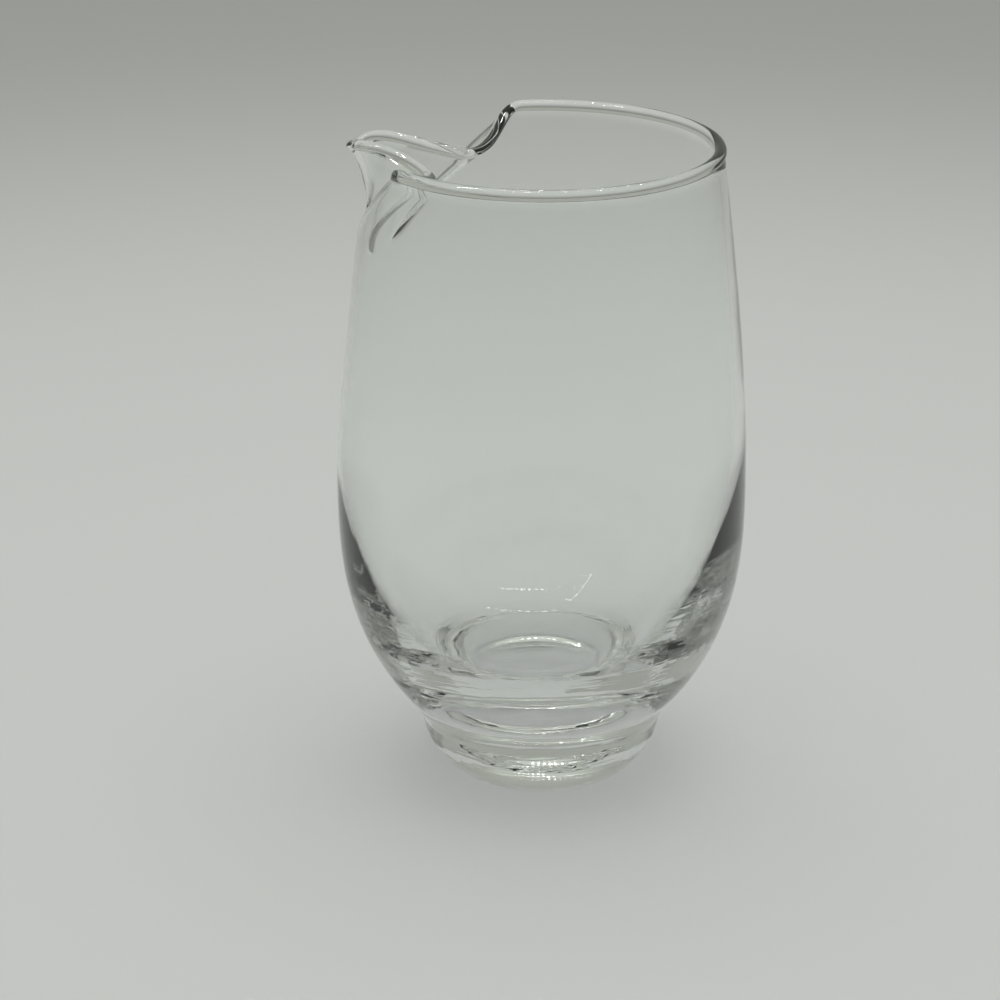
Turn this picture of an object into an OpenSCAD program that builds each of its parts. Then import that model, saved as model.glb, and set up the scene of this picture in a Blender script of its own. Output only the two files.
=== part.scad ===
// Small glass cocktail pitcher: a barrel-shaped bowl with a fire-polished rim and a pinched
// pouring spout, standing on a thick banded foot. Millimetres, +Z up, origin at the centre
// of the ring it stands on, spout along -X.

/* [Bowl] */
// Overall height, from the table to the top of the rim
total_h = 141; // [128:0.5:158]
// Widest outer diameter
belly_d = 89; // [85:0.5:96]
// Height of the widest level
belly_z = 64; // [56:0.5:72]
// Outer diameter of the glass at the rim
mouth_d = 76.6; // [73:0.2:80]
// Lean of the wall at the rim, in degrees from upright
rim_lean = 7; // [4:0.5:9]
// Flare of the wall where it leaves the foot, in degrees from upright
foot_flare = 42; // [39:0.5:45]
// Wall thickness from the rim down to the level where the wall starts to thicken
thin_wall = 1.8; // [1.6:0.1:2.2]
// Height of that level
thick_z = 75; // [68:1:86]
// Wall thickness that the thickening would reach at the lowest level of the inside
low_wall = 11; // [10:0.1:12]
// How fast the wall thickens downwards
thickening = 2; // [1.7:0.1:2.5]
// Height of the lowest level of the inside
floor_z = 18.5; // [17:0.5:20.5]
// Radius of the rounded bottom of the inside
floor_round = 35; // [31:0.5:38]
// How far the inside lies off the axis at its lowest level, towards the spout; it runs out at the rim
inside_shift = 1.2; // [0:0.1:1.3]
// Diameter of the fire-polished bead along the rim
bead_d = 2.7; // [2.6:0.1:3.2]

/* [Spout] */
// Angle from the spout's centre line to the corners where the rim turns inwards
corner_angle = 60.5; // [57:0.5:65]
// Distance from the bowl's axis to the throat between the two folds
throat_reach = 22.6; // [20:0.2:25]
// Half the distance between the two folds
throat_half = 9.4; // [8.4:0.2:11]
// Heading of the rim at the throat, in degrees off the spout's centre line
throat_heading = 33; // [28:1:38]
// Drop of the rim at the throat
throat_drop = 5.8; // [4:0.2:8]
// Distance from the bowl's axis to the pouring tip
tip_reach = 43.6; // [42:0.2:48]
// Drop of the pouring tip
tip_drop = 4.6; // [3:0.2:7]
// Lift of the rim's curve as it leaves the throat and as it nears the tip
beak_lift = 3.6; // [2:0.2:5]
// Length of the curve by which the rim turns in at the corners
corner_sweep = 6; // [5:0.5:8]
// Length of the curve by which the rim comes into the throat
throat_sweep = 7.7; // [6:0.1:9]
// Length of the curve by which the rim leaves the throat along the beak
beak_sweep = 13.3; // [11:0.1:15]
// Breadth of the curve round the pouring tip
tip_sweep = 8; // [6.5:0.5:10]
// Depth below the rim at which the pinch has run out
pinch_depth = 26; // [22:0.5:34]
// Share of the pinch's width that is left where it runs out
pinch_taper = 0.2; // [0.15:0.05:0.4]
// How far the wall on the spout's side is drawn in towards the axis
pinch_draw = 1.2; // [0:0.1:2]
// How fast the overhang of the beak fades with depth
beak_fade = 2.6; // [2:0.1:3.2]
// How fast the folds fade with depth
fold_fade = 1.4; // [1.2:0.1:2]

/* [Foot] */
// Height of the crease between foot and bowl
crease_z = 14.7; // [13.6:0.1:16]
// Diameter of the crease
crease_d = 57; // [54:0.2:60]
// Height of the edge between the foot's upper band and its rounded heel
tier_z = 10.9; // [9.6:0.1:12]
// Diameter of the upper band at that edge
tier_d = 53.2; // [50:0.2:56]
// Width of the small step at that edge
tier_step = 0.1; // [0.1:0.1:0.8]
// Diameter of the ring that stands on the table
stand_d = 40.8; // [37:0.2:44.6]
// Width of that ring, in to the hollow under the foot
stand_w = 1.6; // [1:0.1:4]
// Radius of the rounded heel, from the ring up to that edge
heel_round = 14.8; // [12:0.2:19]
// Depth of the hollow under the foot
hollow_h = 1.9; // [0.8:0.1:2.6]

/* [Hidden] */
glass = [0.80, 0.86, 0.83, 0.45];

// Steps along the rim: shoulder and beak of each half of the spout, then half the round rim
shoulder_steps = 8;
beak_steps = 9;
round_steps = 22;
spout_steps = shoulder_steps + beak_steps;
half_steps = spout_steps + round_steps;
columns = 2 * half_steps;

// Steps up the wall: the pinched zone, the plain wall below it, the bead, the inside corner
pinch_rows = 9;
plain_rows = 12;
bead_rows = 7;
corner_rows = 13;
heel_rows = 10;
hollow_rows = 6;

rim_z = total_h - bead_d / 2;
rim_r = mouth_d / 2 - thin_wall / 2;
pinch_z = rim_z - pinch_depth;

// Share of a change that has happened at share u of the way, flat at the start, with end slope s
function ease(u, s) = (3 - s) * u * u + (s - 2) * u * u * u;

// Outer radius of the bowl at height z
upper_slope = tan(rim_lean) * (rim_z - belly_z) / (belly_d / 2 - mouth_d / 2);
lower_slope = tan(foot_flare) * (belly_z - crease_z) / (belly_d / 2 - crease_d / 2);
function outer_r(z) = z > belly_z
    ? belly_d / 2 - (belly_d - mouth_d) / 2 * ease((z - belly_z) / (rim_z - belly_z), upper_slope)
    : belly_d / 2 - (belly_d - crease_d) / 2 * ease((belly_z - z) / (belly_z - crease_z), lower_slope);

// Wall thickness at height z: even at the top, thickening downwards from the thick level
function wall(z) = thin_wall
    + (low_wall - thin_wall) * pow(max(0, thick_z - z) / (thick_z - floor_z), thickening);
function inner_r(z) = outer_r(z) - wall(z);
function inside_off(z) = inside_shift * (1 - ease(max(0, z - floor_z) / (rim_z - floor_z), 0));

function bezier(p, t) = p[0] * pow(1 - t, 3) + 3 * p[1] * t * pow(1 - t, 2)
    + 3 * p[2] * t * t * (1 - t) + p[3] * pow(t, 3);

// Point of the plain rim at an angle from the spout, before the pinch
function plain_rim(a) = (rim_r - draw(a)) * [cos(a), sin(a), 0];
function draw(a) = pinch_draw * (1 + cos(a)) / 2;

// Half of the spout's rim, as [along the spout, across it, above the rim's level]
corner = plain_rim(corner_angle);
throat = [throat_reach, throat_half, -throat_drop];
tip = [tip_reach, 0, -tip_drop];
heading = [cos(throat_heading), -sin(throat_heading), beak_lift / beak_sweep];
shoulder_curve = [
    corner,
    corner + corner_sweep * [sin(corner_angle), -cos(corner_angle), 0],
    throat - throat_sweep * heading,
    throat
];
beak_curve = [
    throat,
    throat + beak_sweep * heading,
    tip + [0, tip_sweep, beak_lift],
    tip
];
function spout_rim(i) = i <= beak_steps
    ? bezier(beak_curve, 1 - i / beak_steps)
    : bezier(shoulder_curve, 1 - (i - beak_steps) / shoulder_steps);

// Column i runs from the tip at 0 round to the back at half_steps; the other half mirrors it.
// Angle of column i where the pinch leaves a share k of its width
function column_angle(i, k) = i <= spout_steps
    ? k * corner_angle * i / spout_steps
    : 180 - (180 - k * corner_angle) * (half_steps - i) / round_steps;
function even_angle(i) = 180 * i / half_steps;

// Shift of column i at the rim away from the plain rim
function rim_shift(i) = i >= spout_steps
    ? [0, 0, 0]
    : spout_rim(i) - plain_rim(column_angle(i, 1));

// Middle of the wall in column i at height z, on the half where the cross share is positive
function half_middle(i, z) =
    let (
        q = min(1, max(0, (rim_z - z) / pinch_depth)),
        k = 1 - (1 - pinch_taper) * q,
        below = min(1, max(0, (pinch_z - z) / (pinch_z - crease_z))),
        a = column_angle(i, k) * (1 - below) + even_angle(i) * below,
        drawn = draw(a) * ease(min(1, max(0, (z - belly_z) / (pinch_z - belly_z))), 0),
        r = outer_r(min(z, rim_z)) - wall(z) / 2 - drawn,
        shift = rim_shift(i),
        fold = pow(1 - q, fold_fade),
        along = shift[0] > 0 ? pow(1 - q, beak_fade) : fold
    )
    [r * cos(a) + along * shift[0], r * sin(a) + fold * k * shift[1], z + (1 - q) * shift[2]];

function middle(c, z) =
    let (
        n = (c + columns) % columns,
        m = half_middle(n <= half_steps ? n : columns - n, z)
    )
    [-m[0], n <= half_steps ? -m[1] : m[1], m[2]];

// Point at a distance off the middle of the wall, square to the wall as seen from above
function off_middle(c, z, off) =
    let (
        m = middle(c, z),
        d = middle(c + 1, z) - middle(c - 1, z),
        run = sqrt(d[0] * d[0] + d[1] * d[1])
    )
    m + off / run * [d[1], -d[0], 0];

// Rows of the wall from the crease up the outside, over the bead and down to the inside corner,
// as [height, distance off the middle of the wall, shift towards the spout]
function lean_at(z) = atan((inner_r(z + 1) - inner_r(z - 1)) / 2);
function bottom_z(lean) = floor_z + floor_round * (1 - sin(lean));
function settled(lean, n) = n == 0 ? lean : settled(lean_at(bottom_z(lean)), n - 1);
inside_lean = settled(0, 12);
corner_z = bottom_z(inside_lean);
function blend(a, b, n) = [for (j = [0 : n - 1]) a + (b - a) * j / n];
bead_side = asin(thin_wall / bead_d);
bead_foot = bead_d / 2 * cos(bead_side);
outside_z = concat(blend(crease_z, pinch_z, plain_rows), blend(pinch_z, rim_z - bead_foot, pinch_rows));
inside_z = concat(blend(corner_z, pinch_z, plain_rows), blend(pinch_z, rim_z - bead_foot, pinch_rows));
bead_rise = [for (j = [0 : bead_rows])
    let (a = bead_side - 90 + (360 - 2 * bead_side) * j / bead_rows)
    [rim_z + bead_d / 2 * sin(a), bead_d / 2 * cos(a), 0]];
wall_rows = concat(
    [for (z = outside_z) [z, wall(z) / 2, 0]],
    bead_rise,
    [for (j = [len(inside_z) - 1 : -1 : 0]) [inside_z[j], -wall(inside_z[j]) / 2, inside_off(inside_z[j])]]
);

// Rows of the inside corner, as [height, radius], tangent to the wall and to the floor
corner_r = inner_r(corner_z) - floor_round * cos(inside_lean);
corner_arc = [for (j = [1 : corner_rows])
    let (a = inside_lean + (90 - inside_lean) * j / corner_rows)
    [floor_z + floor_round * (1 - sin(a)), corner_r + floor_round * cos(a)]];

module bowl() {
    wall_points = [for (row = wall_rows) for (c = [0 : columns - 1])
        off_middle(c, row[0], row[1]) - [row[2], 0, 0]];
    corner_points = [for (row = corner_arc) for (c = [0 : columns - 1])
        let (m = middle(c, floor_z))
        concat(row[1] * [m[0], m[1]] / norm([m[0], m[1]]) - [inside_off(row[0]), 0], [row[0]])];
    points = concat(wall_points, corner_points, [[0, 0, crease_z], [-inside_shift, 0, floor_z]]);
    rows = len(wall_rows) + corner_rows;
    under = rows * columns;
    inside = under + 1;
    last = (rows - 1) * columns;
    faces = concat(
        [for (j = [0 : rows - 2]) for (c = [0 : columns - 1])
            [j * columns + c, (j + 1) * columns + c, (j + 1) * columns + (c + 1) % columns]],
        [for (j = [0 : rows - 2]) for (c = [0 : columns - 1])
            [j * columns + c, (j + 1) * columns + (c + 1) % columns, j * columns + (c + 1) % columns]],
        [for (c = [0 : columns - 1]) [under, c, (c + 1) % columns]],
        [for (c = [0 : columns - 1]) [inside, last + (c + 1) % columns, last + c]]
    );
    color(glass) polyhedron(points, faces);
}

// Points of an arc of radius r from a to b, bulging to the right of the way
function arc(a, b, r, n) =
    let (
        way = b - a,
        half = norm(way) / 2,
        centre = (a + b) / 2 + sqrt(r * r - half * half) * [-way[1], way[0]] / (2 * half),
        from = atan2(a[1] - centre[1], a[0] - centre[0]),
        swing = 2 * asin(half / r)
    )
    [for (j = [0 : n]) centre + r * [cos(from + swing * j / n), sin(from + swing * j / n)]];

module foot() {
    hollow_r = stand_d / 2 - stand_w;
    hollow_ball = (pow(hollow_r, 2) + pow(hollow_h, 2)) / (2 * hollow_h);
    hollow = [for (j = [0 : hollow_rows])
        let (x = hollow_r * j / hollow_rows)
        [x, hollow_h - hollow_ball + sqrt(hollow_ball * hollow_ball - x * x)]];
    heel = arc([stand_d / 2, 0], [tier_d / 2 - tier_step, tier_z], heel_round, heel_rows);
    color(glass) rotate_extrude($fn = 96)
        polygon(concat(
            hollow,
            heel,
            [[tier_d / 2, tier_z], [crease_d / 2, crease_z], [0, crease_z]]
        ));
}

bowl();
foot();
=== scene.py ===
import math

import bmesh
import bpy
from mathutils import Matrix, Vector, noise


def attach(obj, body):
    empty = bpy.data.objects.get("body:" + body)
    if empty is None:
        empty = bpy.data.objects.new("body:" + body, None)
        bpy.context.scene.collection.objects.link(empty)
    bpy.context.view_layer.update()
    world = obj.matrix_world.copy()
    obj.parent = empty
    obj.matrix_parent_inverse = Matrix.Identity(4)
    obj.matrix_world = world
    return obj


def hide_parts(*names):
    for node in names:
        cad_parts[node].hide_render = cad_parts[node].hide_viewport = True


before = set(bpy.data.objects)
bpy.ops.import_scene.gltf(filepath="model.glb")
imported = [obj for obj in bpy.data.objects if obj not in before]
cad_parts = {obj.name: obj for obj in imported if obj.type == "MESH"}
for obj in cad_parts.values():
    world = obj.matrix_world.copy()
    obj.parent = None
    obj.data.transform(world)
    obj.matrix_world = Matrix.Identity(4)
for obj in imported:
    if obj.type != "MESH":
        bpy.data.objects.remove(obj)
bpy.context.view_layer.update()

bl_info = {
    "name": "Glass cocktail pitcher",
    "version": (1, 0, 0),
    "blender": (4, 5, 0),
    "location": "View3D > Sidebar > Pitcher",
    "description": "Blown glass cocktail pitcher with a pinched spout, on a pale studio floor",
    "category": "Add Mesh",
}

MM = 0.001


class BowlSize(bpy.types.PropertyGroup):
    """Sizes of the blown bowl."""

    height: bpy.props.FloatProperty(
        name="Height", description="From the table to the top of the rim",
        default=141 * MM, unit="LENGTH")
    belly_radius: bpy.props.FloatProperty(
        name="Belly radius", description="Widest outer radius", default=44.5 * MM, unit="LENGTH")
    belly_level: bpy.props.FloatProperty(
        name="Belly level", description="Height of the widest level", default=64 * MM, unit="LENGTH")
    mouth_radius: bpy.props.FloatProperty(
        name="Mouth radius", description="Outer radius of the glass at the rim",
        default=38.3 * MM, unit="LENGTH")
    rim_lean: bpy.props.FloatProperty(
        name="Rim lean", description="Lean of the wall at the rim, from upright",
        default=math.radians(7), subtype="ANGLE")
    foot_flare: bpy.props.FloatProperty(
        name="Foot flare", description="Flare of the wall where it leaves the foot, from upright",
        default=math.radians(42), subtype="ANGLE")
    thin_wall: bpy.props.FloatProperty(
        name="Thin wall", description="Wall thickness from the rim down to the thick level",
        default=1.8 * MM, unit="LENGTH")
    thick_level: bpy.props.FloatProperty(
        name="Thick level", description="Height below which the wall thickens",
        default=75 * MM, unit="LENGTH")
    low_wall: bpy.props.FloatProperty(
        name="Low wall", description="Wall thickness at the inside floor", default=11 * MM, unit="LENGTH")
    thickening: bpy.props.FloatProperty(
        name="Thickening", description="How fast the wall thickens below the thick level", default=2.0)
    floor_level: bpy.props.FloatProperty(
        name="Floor level", description="Height of the inside floor", default=18.5 * MM, unit="LENGTH")
    floor_round: bpy.props.FloatProperty(
        name="Floor round", description="Radius of the rounded bottom of the inside",
        default=35 * MM, unit="LENGTH")
    inside_shift: bpy.props.FloatProperty(
        name="Inside shift",
        description="How far the inside lies off the axis at its floor, towards the spout",
        default=1.2 * MM, unit="LENGTH")
    streak: bpy.props.FloatProperty(
        name="Streak",
        description="Height of the upright streaks that blowing leaves in the thick part of the inside",
        default=0.1 * MM, unit="LENGTH")
    streak_width: bpy.props.FloatProperty(
        name="Streak width", description="Width of those streaks", default=4 * MM, unit="LENGTH")
    bead: bpy.props.FloatProperty(
        name="Bead", description="Diameter of the fire-polished bead along the rim",
        default=2.7 * MM, unit="LENGTH")


class SpoutSize(bpy.types.PropertyGroup):
    """Sizes of the pinched spout."""

    corner_angle: bpy.props.FloatProperty(
        name="Corner angle", description="From the spout's centre line to the corners of the rim",
        default=math.radians(60.5), subtype="ANGLE")
    throat_reach: bpy.props.FloatProperty(
        name="Throat reach", description="From the axis to the throat between the folds",
        default=22.6 * MM, unit="LENGTH")
    throat_half: bpy.props.FloatProperty(
        name="Throat half width", description="Half the distance between the folds",
        default=9.4 * MM, unit="LENGTH")
    throat_heading: bpy.props.FloatProperty(
        name="Throat heading",
        description="Heading of the rim at the throat, off the spout's centre line",
        default=math.radians(33), subtype="ANGLE")
    throat_drop: bpy.props.FloatProperty(
        name="Throat drop", description="Drop of the rim at the throat", default=5.8 * MM, unit="LENGTH")
    tip_reach: bpy.props.FloatProperty(
        name="Tip reach", description="From the axis to the pouring tip",
        default=43.6 * MM, unit="LENGTH")
    tip_drop: bpy.props.FloatProperty(
        name="Tip drop", description="Drop of the pouring tip", default=4.6 * MM, unit="LENGTH")
    beak_lift: bpy.props.FloatProperty(
        name="Beak lift", description="Lift of the rim's curve out of the throat and into the tip",
        default=3.6 * MM, unit="LENGTH")
    corner_sweep: bpy.props.FloatProperty(
        name="Corner sweep", description="Length of the curve that turns in at a corner",
        default=6 * MM, unit="LENGTH")
    throat_sweep: bpy.props.FloatProperty(
        name="Throat sweep", description="Length of the curve that comes into the throat",
        default=7.7 * MM, unit="LENGTH")
    beak_sweep: bpy.props.FloatProperty(
        name="Beak sweep", description="Length of the curve that leaves the throat along the beak",
        default=13.3 * MM, unit="LENGTH")
    tip_sweep: bpy.props.FloatProperty(
        name="Tip sweep", description="Breadth of the curve round the tip", default=8 * MM, unit="LENGTH")
    depth: bpy.props.FloatProperty(
        name="Depth", description="Depth below the rim at which the pinch has run out",
        default=26 * MM, unit="LENGTH")
    taper: bpy.props.FloatProperty(
        name="Taper", description="Share of the pinch's width left where it runs out", default=0.2)
    draw: bpy.props.FloatProperty(
        name="Draw", description="How far the wall on the spout's side is drawn in",
        default=1.2 * MM, unit="LENGTH")
    beak_fade: bpy.props.FloatProperty(
        name="Beak fade", description="How fast the overhang of the beak fades with depth", default=2.6)
    fold_fade: bpy.props.FloatProperty(
        name="Fold fade", description="How fast the folds fade with depth", default=1.4)


class FootSize(bpy.types.PropertyGroup):
    """Sizes of the foot: band, edge, rounded heel, standing ring and hollow."""

    crease_level: bpy.props.FloatProperty(
        name="Crease level", description="Height of the crease between foot and bowl",
        default=14.7 * MM, unit="LENGTH")
    crease_radius: bpy.props.FloatProperty(
        name="Crease radius", description="Radius of the crease", default=28.5 * MM, unit="LENGTH")
    edge_level: bpy.props.FloatProperty(
        name="Edge level", description="Height of the edge between band and heel",
        default=10.9 * MM, unit="LENGTH")
    band_radius: bpy.props.FloatProperty(
        name="Band radius", description="Radius of the band at the edge",
        default=26.6 * MM, unit="LENGTH")
    edge_step: bpy.props.FloatProperty(
        name="Edge step", description="How far the heel lies in from the band at the edge",
        default=0.1 * MM, unit="LENGTH")
    stand_radius: bpy.props.FloatProperty(
        name="Stand radius", description="Radius of the ring that stands on the table",
        default=20.4 * MM, unit="LENGTH")
    heel_round: bpy.props.FloatProperty(
        name="Heel round", description="Radius of the rounded heel", default=14.8 * MM, unit="LENGTH")
    hollow_radius: bpy.props.FloatProperty(
        name="Hollow radius", description="Radius of the hollow under the foot",
        default=18.8 * MM, unit="LENGTH")
    hollow_depth: bpy.props.FloatProperty(
        name="Hollow depth", description="Depth of the hollow under the foot",
        default=1.9 * MM, unit="LENGTH")


class GlassLook(bpy.types.PropertyGroup):
    """Finish of the glass."""

    tint: bpy.props.StringProperty(
        name="Tint", description="Colour of the glass, as an sRGB hex value", default="FDFEFD")
    depth_tint: bpy.props.StringProperty(
        name="Depth tint",
        description="Colour that long ways through the glass lean to, as an sRGB hex value",
        default="B7BCBC")
    depth_density: bpy.props.FloatProperty(
        name="Depth density", description="How much long ways through the glass darken, per metre",
        default=3.0)
    ior: bpy.props.FloatProperty(
        name="IOR", description="Index of refraction of soda-lime glass", default=1.52)
    wave_width: bpy.props.FloatProperty(
        name="Wave width", description="Width of the slow waves in the blown surface",
        default=22 * MM, unit="LENGTH")
    wave_height: bpy.props.FloatProperty(
        name="Wave height", description="Height of those waves", default=0.02 * MM, unit="LENGTH")
    line_width: bpy.props.FloatProperty(
        name="Line width", description="Width of the fine level lines left in the thick base",
        default=1.6 * MM, unit="LENGTH")
    line_height: bpy.props.FloatProperty(
        name="Line height", description="Height of those lines", default=0.06 * MM, unit="LENGTH")


class StageLook(bpy.types.PropertyGroup):
    """Floor, lamps and camera."""

    floor_near: bpy.props.StringProperty(
        name="Floor", description="Colour of the floor round the pitcher, as an sRGB hex value",
        default="C5C6C6")
    # Painted shade: the floor's colour far off is darker, standing in for the lamps' light falling away.
    floor_far_shaded: bpy.props.StringProperty(
        name="Floor far off", description="Colour of the floor far off, as an sRGB hex value",
        default="ADADAC")
    # Painted shade: the floor's near side is darker as reflections in the glass show it, standing in for the
    # camera's shade.
    floor_shade_in_reflections: bpy.props.StringProperty(
        name="Floor in reflections",
        description="Colour of the floor on the camera's side as reflections show it",
        default="747674")
    lamp_power: bpy.props.FloatProperty(
        name="Lamp power", description="Power of the soft box overhead", default=8.3, unit="POWER")
    back_power: bpy.props.FloatProperty(
        name="Back lamp power", description="Power of the lamp behind, which casts the soft shadow",
        default=2.9, unit="POWER")
    sky_tint: bpy.props.StringProperty(
        name="Surroundings", description="Tint of the surroundings, as an sRGB hex value",
        default="FAFFF3")
    sky_far: bpy.props.FloatProperty(
        name="Far surroundings", description="Light from low down behind the pitcher", default=0.37)
    sky_near: bpy.props.FloatProperty(
        name="Near surroundings", description="Light from low down on the camera's side", default=0.13)
    sky_high: bpy.props.FloatProperty(
        name="High surroundings", description="Light from the surroundings high up", default=0.66)
    diodes: bpy.props.FloatProperty(
        name="Diodes", description="Light of the small diodes overhead, as the glass shows them",
        default=60.0)


# The view that the stage is set for: the turn of the camera round the axis, and the way to the far side
VIEW_TURN = Matrix.Rotation(math.radians(22.5), 4, "Z")
FAR_SIDE = VIEW_TURN @ Vector((0, 1, 0))

# Steps of the mesh along its section and round the axis
SECTION_STEPS = {"wall": 44, "pinch": 26, "bead": 18, "corner": 30, "floor": 5,
                 "heel": 16, "band": 6, "hollow": 10}
SPIN_STEPS = 256
MERGE_DISTANCE = 0.001 * MM
SHARP_ANGLE = math.radians(40)
SETTLE_ROUNDS = 12

# Share of the columns from tip to back that the spout takes, and share of those that the beak takes
SPOUT_SHARE = 0.46
BEAK_SHARE = 0.53

# How many times longer than wide the streaks and the level lines are, and the heights where the lines fade in
STREAK_STRETCH = 8
LINE_STRETCH = 10
LINE_FADE = (45 * MM, 20 * MM)

# Floor: its size, the distances over which painted shade darkens it far off, where its near side starts,
# and how many reflections it takes for that side to take its painted shade
FLOOR_RADIUS = 6.0
FLOOR_SHADE_SPAN = (0.27, 0.75)
NEAR_FLOOR = (-0.03, -0.12)
REFLECTIONS = (1.0, 3.0)

# Lamps, in metres as the camera faces the pitcher: across, away and up
LAMP_SIZE = 1.0
SOFT_BOX_PLACE = (0, -0.2, 1.3)
BACK_LAMP_PLACE = (0, 0.25, 1.2)
DIODE_RADIUS = 0.013
DIODE_ROWS = (((-0.34, 0.0, 0.8), (0.26, 0.0, 0.8), 14), ((-0.22, 0.18, 0.8), (-0.46, -0.08, 0.8), 9),
              ((-0.10, 0.34, 0.8), (0.28, 0.34, 0.8), 9))

# Surroundings, by direction: from near to far side, from low to high, and the clutter of the near side
SKY_SIDES = (-0.35, 0.15)
SKY_LEVELS = (0.55, 0.95)
CLUTTER_SCALE = 5.0
CLUTTER_SPAN = (0.42, 0.6)
CLUTTER_LIGHT = (0.5, 2.2)

# Camera: its place as for the lamps, its turns in degrees, and its lens and film in millimetres
CAMERA_PLACE = (0, -0.65316, 0.31363)
CAMERA_PAN = 0.793
CAMERA_TILT = 21.184
CAMERA_ROLL = -0.14
CAMERA_LENS = 115.2
CAMERA_FILM = 36
GLASS_BOUNCES = 24
MIRROR_BOUNCES = 12


def linear(hex_colour):
    """Linear colour of an sRGB hex value."""
    channels = [int(hex_colour[i:i + 2], 16) / 255 for i in (0, 2, 4)]
    return [c / 12.92 if c <= 0.04045 else ((c + 0.055) / 1.055) ** 2.4 for c in channels] + [1.0]


def clamp(x):
    """Value x held between 0 and 1."""
    return min(1.0, max(0.0, x))


def ease(u, s):
    """Share of a change at share u of the way, flat at the start, with end slope s."""
    return (3 - s) * u ** 2 + (s - 2) * u ** 3


def rim_level(bowl):
    """Height of the middle of the rim's bead."""
    return bowl.height - bowl.bead / 2


def outer_radius(bowl, foot, z):
    """Outer radius of the bowl at height z."""
    top = rim_level(bowl)
    if z > bowl.belly_level:
        rise, fall = top - bowl.belly_level, bowl.belly_radius - bowl.mouth_radius
        share = ease((min(z, top) - bowl.belly_level) / rise, math.tan(bowl.rim_lean) * rise / fall)
    else:
        rise, fall = bowl.belly_level - foot.crease_level, bowl.belly_radius - foot.crease_radius
        share = ease((bowl.belly_level - z) / rise, math.tan(bowl.foot_flare) * rise / fall)
    return bowl.belly_radius - fall * share


def wall_thickness(bowl, z):
    """Wall thickness at height z: even at the top, thickening downwards from the thick level."""
    depth = max(0.0, bowl.thick_level - z) / (bowl.thick_level - bowl.floor_level)
    return bowl.thin_wall + (bowl.low_wall - bowl.thin_wall) * depth ** bowl.thickening


def inner_radius(bowl, foot, z):
    """Inner radius of the bowl at height z."""
    return outer_radius(bowl, foot, z) - wall_thickness(bowl, z)


def bottom_start(bowl, foot):
    """Lean of the inside wall, from upright, and the level where it runs into the rounded bottom."""
    lean = 0.0
    for _ in range(SETTLE_ROUNDS):
        level = bowl.floor_level + bowl.floor_round * (1 - math.sin(lean))
        widening = inner_radius(bowl, foot, level + MM) - inner_radius(bowl, foot, level - MM)
        lean = math.atan(widening / (2 * MM))
    return lean, level


def inside_move(bowl, co):
    """Move of a point of the inside off its round place: the shift towards the spout and the streaks."""
    up = ease(clamp((co.z - bowl.floor_level) / (rim_level(bowl) - bowl.floor_level)), 0)
    thick = clamp((wall_thickness(bowl, co.z) - bowl.thin_wall) / (bowl.low_wall - bowl.thin_wall))
    out = Vector((co.x, co.y, 0))
    across = out.normalized() * bowl.belly_radius / bowl.streak_width
    along = co.z / (STREAK_STRETCH * bowl.streak_width)
    streak = bowl.streak * noise.noise(Vector((across.x, across.y, along)))
    share = thick * min(1, out.length / bowl.mouth_radius)
    return Vector((-bowl.inside_shift * (1 - up), 0, 0)) + share * streak * out.normalized()


def steps(a, b, n):
    """Values from a up to but not including b."""
    return [a + (b - a) * i / n for i in range(n)]


def foot_section(foot):
    """Half section of the foot as (radius, height), from the axis under the hollow up to the crease."""
    ball = (foot.hollow_radius ** 2 + foot.hollow_depth ** 2) / (2 * foot.hollow_depth)
    points = [(x, foot.hollow_depth - ball + math.sqrt(ball ** 2 - x ** 2))
              for x in steps(0, foot.hollow_radius, SECTION_STEPS["hollow"])]
    points.append((foot.hollow_radius, 0.0))
    start = Vector((foot.stand_radius, 0.0))
    end = Vector((foot.band_radius - foot.edge_step, foot.edge_level))
    half = (end - start).length / 2
    way = (end - start).normalized()
    centre = (start + end) / 2 + math.sqrt(foot.heel_round ** 2 - half ** 2) * Vector((-way.y, way.x))
    first = math.atan2(start.y - centre.y, start.x - centre.x)
    swing = 2 * math.asin(half / foot.heel_round)
    for a in steps(first, first + swing, SECTION_STEPS["heel"]):
        points.append((centre.x + foot.heel_round * math.cos(a), centre.y + foot.heel_round * math.sin(a)))
    points.append(tuple(end))
    for t in steps(0, 1, SECTION_STEPS["band"]):
        points.append((foot.band_radius + (foot.crease_radius - foot.band_radius) * t,
                       foot.edge_level + (foot.crease_level - foot.edge_level) * t))
    return points


def bowl_section(bowl, foot, spout):
    """Half section of the bowl as (radius, height), from the crease over the rim to the floor's middle."""
    top, pinch = rim_level(bowl), rim_level(bowl) - spout.depth
    side = math.asin(bowl.thin_wall / bowl.bead)
    under_bead = top - bowl.bead / 2 * math.cos(side)
    points = [(outer_radius(bowl, foot, z), z)
              for z in steps(foot.crease_level, pinch, SECTION_STEPS["wall"])
              + steps(pinch, under_bead, SECTION_STEPS["pinch"])]
    middle = bowl.mouth_radius - bowl.thin_wall / 2
    for a in steps(side - math.pi / 2, 3 * math.pi / 2 - side, SECTION_STEPS["bead"]):
        points.append((middle + bowl.bead / 2 * math.cos(a), top + bowl.bead / 2 * math.sin(a)))
    lean, corner_level = bottom_start(bowl, foot)
    points += [(inner_radius(bowl, foot, z), z)
               for z in steps(under_bead, pinch, SECTION_STEPS["pinch"])
               + steps(pinch, corner_level, SECTION_STEPS["wall"])]
    centre = inner_radius(bowl, foot, corner_level) - bowl.floor_round * math.cos(lean)
    for a in steps(lean, math.pi / 2, SECTION_STEPS["corner"]):
        points.append((centre + bowl.floor_round * math.cos(a),
                       bowl.floor_level + bowl.floor_round * (1 - math.sin(a))))
    points += [(r, bowl.floor_level) for r in steps(centre, 0, SECTION_STEPS["floor"])]
    return points + [(0.0, bowl.floor_level)]


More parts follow.
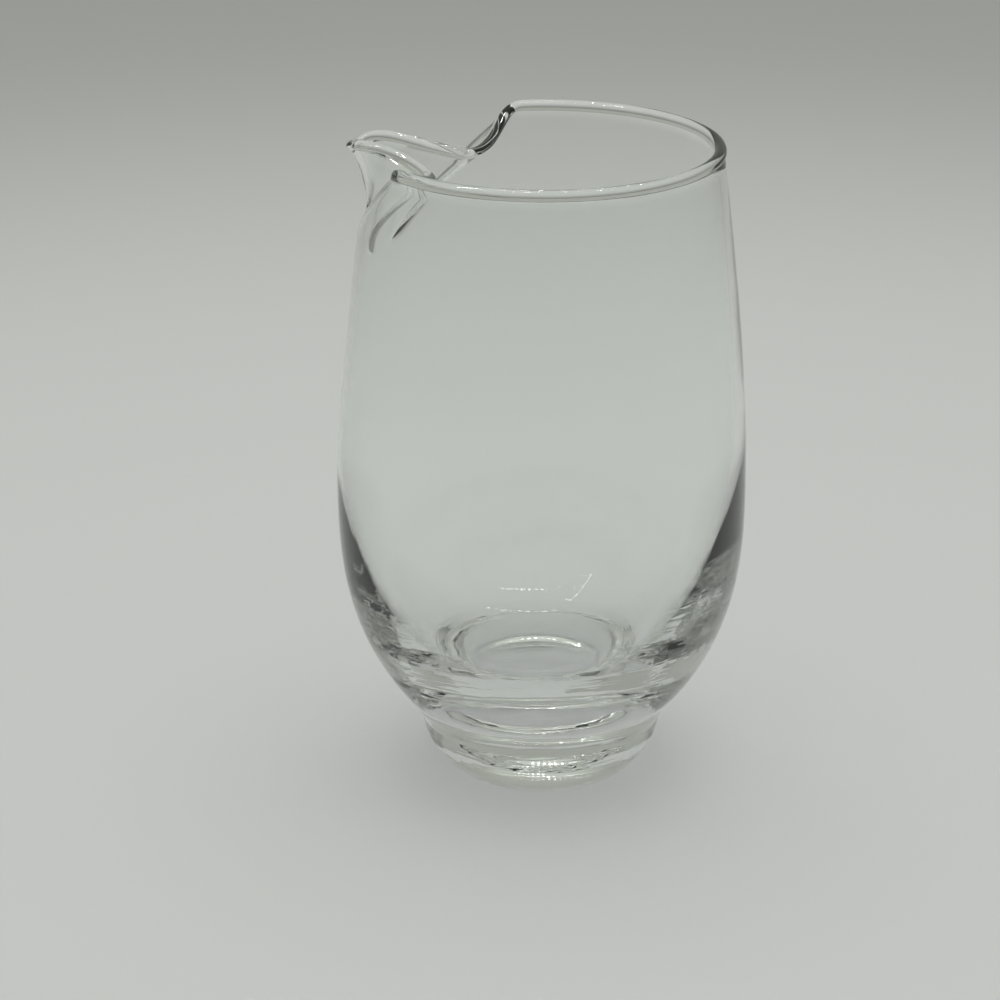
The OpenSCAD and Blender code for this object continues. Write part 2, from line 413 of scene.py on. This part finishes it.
def bezier(points, t):
    """Point at share t of the curve with these four control points."""
    a, b, c, d = points
    return a * (1 - t) ** 3 + 3 * b * t * (1 - t) ** 2 + 3 * c * t * t * (1 - t) + d * t ** 3


class Pinch:
    """Moves points of the round wall to where the pinched spout has them."""

    def __init__(self, bowl, foot, spout):
        self.bowl, self.foot, self.spout = bowl, foot, spout
        self.top = rim_level(bowl)
        self.level = self.top - spout.depth
        self.rim = bowl.mouth_radius - bowl.thin_wall / 2
        corner = self.plain(spout.corner_angle)
        throat = Vector((spout.throat_reach, spout.throat_half, -spout.throat_drop))
        tip = Vector((spout.tip_reach, 0, -spout.tip_drop))
        heading = Vector((math.cos(spout.throat_heading), -math.sin(spout.throat_heading),
                          spout.beak_lift / spout.beak_sweep))
        turn = Vector((math.sin(spout.corner_angle), -math.cos(spout.corner_angle), 0))
        self.shoulder = (corner, corner + spout.corner_sweep * turn,
                         throat - spout.throat_sweep * heading, throat)
        self.beak = (throat, throat + spout.beak_sweep * heading,
                     tip + Vector((0, spout.tip_sweep, spout.beak_lift)), tip)

    def drawn(self, a):
        """How far the wall is drawn in at an angle from the spout."""
        return self.spout.draw * (1 + math.cos(a)) / 2

    def plain(self, a):
        """Point of the plain rim at an angle from the spout, as (along, across, up)."""
        return (self.rim - self.drawn(a)) * Vector((math.cos(a), math.sin(a), 0))

    def shift(self, c):
        """Shift of the rim at column share c away from the plain rim."""
        u = c / SPOUT_SHARE
        if u >= 1:
            return Vector((0, 0, 0))
        if u <= BEAK_SHARE:
            there = bezier(self.beak, 1 - u / BEAK_SHARE)
        else:
            there = bezier(self.shoulder, 1 - (u - BEAK_SHARE) / (1 - BEAK_SHARE))
        return there - self.plain(u * self.spout.corner_angle)

    def middle(self, c, z):
        """Middle of the wall at column share c, from 0 at the tip to 1 or -1 at the back, and height z."""
        if abs(c) > 1:
            c -= math.copysign(2, c)
        s, share = self.spout, abs(c)
        q = clamp((self.top - z) / s.depth)
        k = 1 - (1 - s.taper) * q
        below = clamp((self.level - z) / (self.level - self.bowl.belly_level))
        below = ease(below, 0)
        if share < SPOUT_SHARE:
            a = k * s.corner_angle * share / SPOUT_SHARE
        else:
            a = math.pi - (math.pi - k * s.corner_angle) * (1 - share) / (1 - SPOUT_SHARE)
        a = a * (1 - below) + math.pi * share * below
        lift = ease(clamp((z - self.bowl.belly_level) / (self.level - self.bowl.belly_level)), 0)
        r = outer_radius(self.bowl, self.foot, z) - wall_thickness(self.bowl, z) / 2 - self.drawn(a) * lift
        shift = self.shift(share)
        fold = (1 - q) ** s.fold_fade
        along = (1 - q) ** s.beak_fade if shift.x > 0 else fold
        across = r * math.sin(a) + fold * k * shift.y
        out = r * math.cos(a) + along * shift.x
        return Vector((-out, math.copysign(across, c), z + (1 - q) * shift.z))

    def moved(self, co):
        """Place of a point of the round wall once the spout is pinched."""
        c = math.atan2(co.y, -co.x) / math.pi
        middle = outer_radius(self.bowl, self.foot, co.z) - wall_thickness(self.bowl, co.z) / 2
        off = math.hypot(co.x, co.y) - middle
        step = 0.25 / SPIN_STEPS
        run = self.middle(c + step, co.z) - self.middle(c - step, co.z)
        square = Vector((-run.y, run.x, 0)).normalized()
        return self.middle(c, co.z) + off * square


def add_node(tree, kind, inputs=None, links=None, **settings):
    """Adds a node with its settings, socket values and incoming links."""
    node = tree.nodes.new(kind)
    for name, value in settings.items():
        setattr(node, name, value)
    for socket, value in (inputs or {}).items():
        node.inputs[socket].default_value = value
    for socket, source in (links or {}).items():
        tree.links.new(source, node.inputs[socket])
    return node


def new_material(name):
    """An empty node material and its output node."""
    material = bpy.data.materials.new(name)
    material.use_nodes = True
    material.node_tree.nodes.clear()
    return material, add_node(material.node_tree, "ShaderNodeOutputMaterial")


def blown_glass(look):
    """Clear soda-lime glass, blown and fire-polished: bare of colour, and a little wavy."""
    # Slow waves all over bend what shows through, and fine level lines streak the thick base.
    material, output = new_material("soda_lime_glass_blown")
    tree = material.node_tree
    place = add_node(tree, "ShaderNodeTexCoord")
    waves = add_node(tree, "ShaderNodeTexNoise",
                     {"Scale": 1 / look.wave_width, "Detail": 1.0, "Roughness": 0.4},
                     {"Vector": place.outputs["Object"]})
    squat = add_node(tree, "ShaderNodeVectorMath", {1: (1 / LINE_STRETCH, 1 / LINE_STRETCH, 1.0)},
                     {0: place.outputs["Object"]}, operation="MULTIPLY")
    lines = add_node(tree, "ShaderNodeTexNoise",
                     {"Scale": 1 / look.line_width, "Detail": 1.0, "Roughness": 0.5},
                     {"Vector": squat.outputs["Vector"]})
    axes = add_node(tree, "ShaderNodeSeparateXYZ", None, {"Vector": place.outputs["Object"]})
    low = add_node(tree, "ShaderNodeMapRange",
                   {"From Min": LINE_FADE[0], "From Max": LINE_FADE[1], "To Max": look.line_height},
                   {"Value": axes.outputs["Z"]})
    slow = add_node(tree, "ShaderNodeMath", {1: look.wave_height}, {0: waves.outputs["Fac"]},
                    operation="MULTIPLY")
    height = add_node(tree, "ShaderNodeMath", None,
                      {0: lines.outputs["Fac"], 1: low.outputs["Result"], 2: slow.outputs["Value"]},
                      operation="MULTIPLY_ADD")
    bump = add_node(tree, "ShaderNodeBump", {"Strength": 1.0, "Distance": 1.0},
                    {"Height": height.outputs["Value"]})
    glass = add_node(tree, "ShaderNodeBsdfPrincipled",
                     {"Base Color": linear(look.tint), "Roughness": 0.0, "IOR": look.ior,
                      "Transmission Weight": 1.0},
                     {"Normal": bump.outputs["Normal"]})
    depth = add_node(tree, "ShaderNodeVolumeAbsorption",
                     {"Color": linear(look.depth_tint), "Density": look.depth_density})
    tree.links.new(glass.outputs["BSDF"], output.inputs["Surface"])
    tree.links.new(depth.outputs["Volume"], output.inputs["Volume"])
    return material


def studio_floor(look):
    """Matt paper floor, pale round the pitcher, with painted shade that makes it darker far off where the
    lamps' light falls away.
    """
    # Reflected more than once inside the glass, its near side gets painted shade, standing in for the
    # camera's shade.
    material, output = new_material("matt_paper_floor")
    tree = material.node_tree
    place = add_node(tree, "ShaderNodeTexCoord")
    away = add_node(tree, "ShaderNodeVectorMath", None, {0: place.outputs["Object"]}, operation="LENGTH")
    share = add_node(tree, "ShaderNodeMapRange", {"From Min": FLOOR_SHADE_SPAN[0], "From Max": FLOOR_SHADE_SPAN[1]},
                     {"Value": away.outputs["Value"]}, interpolation_type="SMOOTHSTEP")
    # Painted shade: the floor fades to a darker colour far off, in place of the lamps' light falling away.
    shaded_tone = add_node(tree, "ShaderNodeMix", {6: linear(look.floor_near), 7: linear(look.floor_far_shaded)},
                    {"Factor": share.outputs["Result"]}, data_type="RGBA")
    side = add_node(tree, "ShaderNodeVectorMath", {1: FAR_SIDE}, {0: place.outputs["Object"]},
                    operation="DOT_PRODUCT")
    path = add_node(tree, "ShaderNodeLightPath")
    turned = add_node(tree, "ShaderNodeMapRange", {"From Min": REFLECTIONS[0], "From Max": REFLECTIONS[1]},
                      {"Value": path.outputs["Glossy Depth"]})
    near = add_node(tree, "ShaderNodeMapRange", {"From Min": NEAR_FLOOR[0], "From Max": NEAR_FLOOR[1]},
                    {"Value": side.outputs["Value"], "To Max": turned.outputs["Result"]})
    # Painted shade: the near side of the floor turns darker as reflections inside the glass show it.
    seen = add_node(tree, "ShaderNodeMix", {7: linear(look.floor_shade_in_reflections)},
                    {"Factor": near.outputs["Result"], 6: shaded_tone.outputs[2]}, data_type="RGBA")
    paper = add_node(tree, "ShaderNodeBsdfPrincipled", {"Roughness": 0.7, "Specular IOR Level": 0.2},
                     {"Base Color": seen.outputs[2]})
    tree.links.new(paper.outputs["BSDF"], output.inputs["Surface"])
    return material


def diode_light(look):
    """Small white diodes, bright enough to show as sparks in the glass."""
    material, output = new_material("white_diodes")
    light = add_node(material.node_tree, "ShaderNodeEmission", {"Strength": look.diodes})
    material.node_tree.links.new(light.outputs["Emission"], output.inputs["Surface"])
    return material


def studio_room(look):
    """Surroundings: lighter behind the pitcher and overhead, dim and cluttered on the camera's side."""
    world = bpy.data.worlds.new("studio_room")
    world.use_nodes = True
    tree = world.node_tree
    tree.nodes.clear()
    place = add_node(tree, "ShaderNodeTexCoord")
    axes = add_node(tree, "ShaderNodeSeparateXYZ", None, {"Vector": place.outputs["Generated"]})
    side = add_node(tree, "ShaderNodeVectorMath", {1: FAR_SIDE}, {0: place.outputs["Generated"]},
                    operation="DOT_PRODUCT")
    clutter = add_node(tree, "ShaderNodeTexNoise",
                       {"Scale": CLUTTER_SCALE, "Detail": 2.0, "Roughness": 0.6},
                       {"Vector": place.outputs["Generated"]})
    room = add_node(tree, "ShaderNodeMapRange",
                    {"From Min": CLUTTER_SPAN[0], "From Max": CLUTTER_SPAN[1],
                     "To Min": CLUTTER_LIGHT[0] * look.sky_near, "To Max": CLUTTER_LIGHT[1] * look.sky_near},
                    {"Value": clutter.outputs["Fac"]})
    low = add_node(tree, "ShaderNodeMapRange",
                   {"From Min": SKY_SIDES[0], "From Max": SKY_SIDES[1], "To Max": look.sky_far},
                   {"Value": side.outputs["Value"], "To Min": room.outputs["Result"]},
                   interpolation_type="SMOOTHSTEP")
    share = add_node(tree, "ShaderNodeMapRange", {"From Min": SKY_LEVELS[0], "From Max": SKY_LEVELS[1]},
                     {"Value": axes.outputs["Z"]}, interpolation_type="SMOOTHSTEP")
    rise = add_node(tree, "ShaderNodeMix", {3: look.sky_high},
                    {"Factor": share.outputs["Result"], 2: low.outputs["Result"]})
    air = add_node(tree, "ShaderNodeBackground", {"Color": linear(look.sky_tint)},
                   {"Strength": rise.outputs[0]})
    add_node(tree, "ShaderNodeOutputWorld", None, {"Surface": air.outputs["Background"]})
    return world


def add_object(scene, name, bm, material):
    """Turns a bmesh into an object of one material in the scene."""
    mesh = bpy.data.meshes.new(name)
    bm.to_mesh(mesh)
    bm.free()
    mesh.materials.append(material)
    piece = bpy.data.objects.new(name, mesh)
    scene.collection.objects.link(piece)
    return piece


def add_lamp(scene, name, power, place):
    """Adds a square lamp that faces down and that the glass doesn't mirror."""
    lamp = bpy.data.lights.new(name, "AREA")
    lamp.size = LAMP_SIZE
    lamp.energy = power
    box = bpy.data.objects.new(name, lamp)
    box.matrix_world = VIEW_TURN @ Matrix.Translation(place)
    box.visible_glossy = False
    box.visible_transmission = False
    scene.collection.objects.link(box)
    return box


def add_diodes(scene, look):
    """Adds the rows of diodes, which only the glass shows."""
    bm = bmesh.new()
    for start, end, count in DIODE_ROWS:
        for i in range(count):
            at = VIEW_TURN @ Vector(start).lerp(Vector(end), i / (count - 1))
            bmesh.ops.create_circle(bm, cap_ends=True, radius=DIODE_RADIUS, segments=12,
                                    matrix=Matrix.Translation(at))
    diodes = add_object(scene, "diode_rows", bm, diode_light(look))
    diodes.visible_camera = False
    diodes.visible_diffuse = False
    diodes.visible_shadow = False


def add_camera(scene):
    """Adds the camera and looks through it."""
    camera = bpy.data.cameras.new("camera")
    camera.sensor_width = CAMERA_FILM
    camera.lens = CAMERA_LENS
    camera.clip_start = 0.01
    camera.clip_end = 50
    holder = bpy.data.objects.new("camera", camera)
    holder.matrix_world = (VIEW_TURN @ Matrix.Translation(CAMERA_PLACE)
                           @ Matrix.Rotation(math.radians(CAMERA_PAN), 4, "Z")
                           @ Matrix.Rotation(math.radians(90 - CAMERA_TILT), 4, "X")
                           @ Matrix.Rotation(math.radians(CAMERA_ROLL), 4, "Z"))
    scene.collection.objects.link(holder)
    scene.camera = holder


class PITCHER_OT_glass(bpy.types.Operator):
    """Blow the glass: spin its section round the axis, then pinch the spout"""

    bl_idname = "pitcher.glass"
    bl_label = "Glass"

    def execute(self, context):
        scene = context.scene
        bowl, spout, foot = scene.pitcher_bowl, scene.pitcher_spout, scene.pitcher_foot
        section = foot_section(foot) + bowl_section(bowl, foot, spout)
        bm = bmesh.new()
        verts = [bm.verts.new((-r, 0, z)) for r, z in section]
        edges = [bm.edges.new(pair) for pair in zip(verts, verts[1:])]
        bmesh.ops.spin(bm, geom=verts + edges, cent=(0, 0, 0), axis=(0, 0, 1), angle=2 * math.pi,
                       steps=SPIN_STEPS, use_merge=True)
        bmesh.ops.remove_doubles(bm, verts=bm.verts, dist=MERGE_DISTANCE)
        pinch = Pinch(bowl, foot, spout)
        for v in bm.verts:
            z = v.co.z
            middle = outer_radius(bowl, foot, z) - wall_thickness(bowl, z) / 2
            inside = z >= bowl.floor_level and v.co.xy.length < middle
            move = inside_move(bowl, v.co) if inside else Vector((0, 0, 0))
            if z > bowl.belly_level:
                v.co = pinch.moved(v.co)
            v.co += move
        bmesh.ops.recalc_face_normals(bm, faces=bm.faces)
        for face in bm.faces:
            face.smooth = True
        glass = add_object(scene, "pitcher_glass", bm, blown_glass(scene.pitcher_look))
        glass.data.set_sharp_from_angle(angle=SHARP_ANGLE)
        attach(glass, "root")
        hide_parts("bowl", "foot")
        return {"FINISHED"}


class PITCHER_OT_stage(bpy.types.Operator):
    """Set the stage: floor, lamps, surroundings and camera"""

    bl_idname = "pitcher.stage"
    bl_label = "Stage"

    def execute(self, context):
        scene = context.scene
        look = scene.pitcher_stage
        bm = bmesh.new()
        bmesh.ops.create_circle(bm, cap_ends=True, radius=FLOOR_RADIUS, segments=64)
        add_object(scene, "studio_floor", bm, studio_floor(look))
        soft_box = add_lamp(scene, "soft_box", look.lamp_power, SOFT_BOX_PLACE)
        add_lamp(scene, "back_lamp", look.back_power, BACK_LAMP_PLACE)
        # The soft box lights the floor through the glass, and the lamp behind casts the shadow.
        clear = bpy.data.collections.new("lets_the_soft_box_through")
        clear.objects.link(bpy.data.objects["pitcher_glass"])
        clear.collection_objects[0].light_linking.link_state = "EXCLUDE"
        soft_box.light_linking.blocker_collection = clear
        add_diodes(scene, look)
        scene.world = studio_room(look)
        add_camera(scene)
        scene.view_settings.view_transform = "Standard"
        scene.cycles.max_bounces = GLASS_BOUNCES
        scene.cycles.transmission_bounces = GLASS_BOUNCES
        scene.cycles.glossy_bounces = MIRROR_BOUNCES
        return {"FINISHED"}


class PITCHER_PT_panel(bpy.types.Panel):
    """Lists the pieces of the pitcher and its sizes"""

    bl_idname = "PITCHER_PT_panel"
    bl_label = "Cocktail pitcher"
    bl_space_type = "VIEW_3D"
    bl_region_type = "UI"
    bl_category = "Pitcher"

    def draw(self, context):
        for group in GROUPS:
            box = self.layout.box()
            values = getattr(context.scene, group)
            for name in values.bl_rna.properties.keys():
                if name not in ("rna_type", "name"):
                    box.prop(values, name)
        self.layout.operator(PITCHER_OT_glass.bl_idname)
        self.layout.operator(PITCHER_OT_stage.bl_idname)


GROUPS = {"pitcher_bowl": BowlSize, "pitcher_spout": SpoutSize, "pitcher_foot": FootSize,
          "pitcher_look": GlassLook, "pitcher_stage": StageLook}
CLASSES = (*GROUPS.values(), PITCHER_OT_glass, PITCHER_OT_stage, PITCHER_PT_panel)


def register():
    """Registers the classes and hangs their values on the scene."""
    for cls in CLASSES:
        bpy.utils.register_class(cls)
    for name, group in GROUPS.items():
        setattr(bpy.types.Scene, name, bpy.props.PointerProperty(type=group))


def unregister():
    """Takes away what register put in place."""
    for name in GROUPS:
        delattr(bpy.types.Scene, name)
    for cls in reversed(CLASSES):
        bpy.utils.unregister_class(cls)


def main():
    """Makes the pitcher and its stage."""
    register()
    bpy.ops.pitcher.glass()
    bpy.ops.pitcher.stage()


if __name__ == "__main__":
    main()
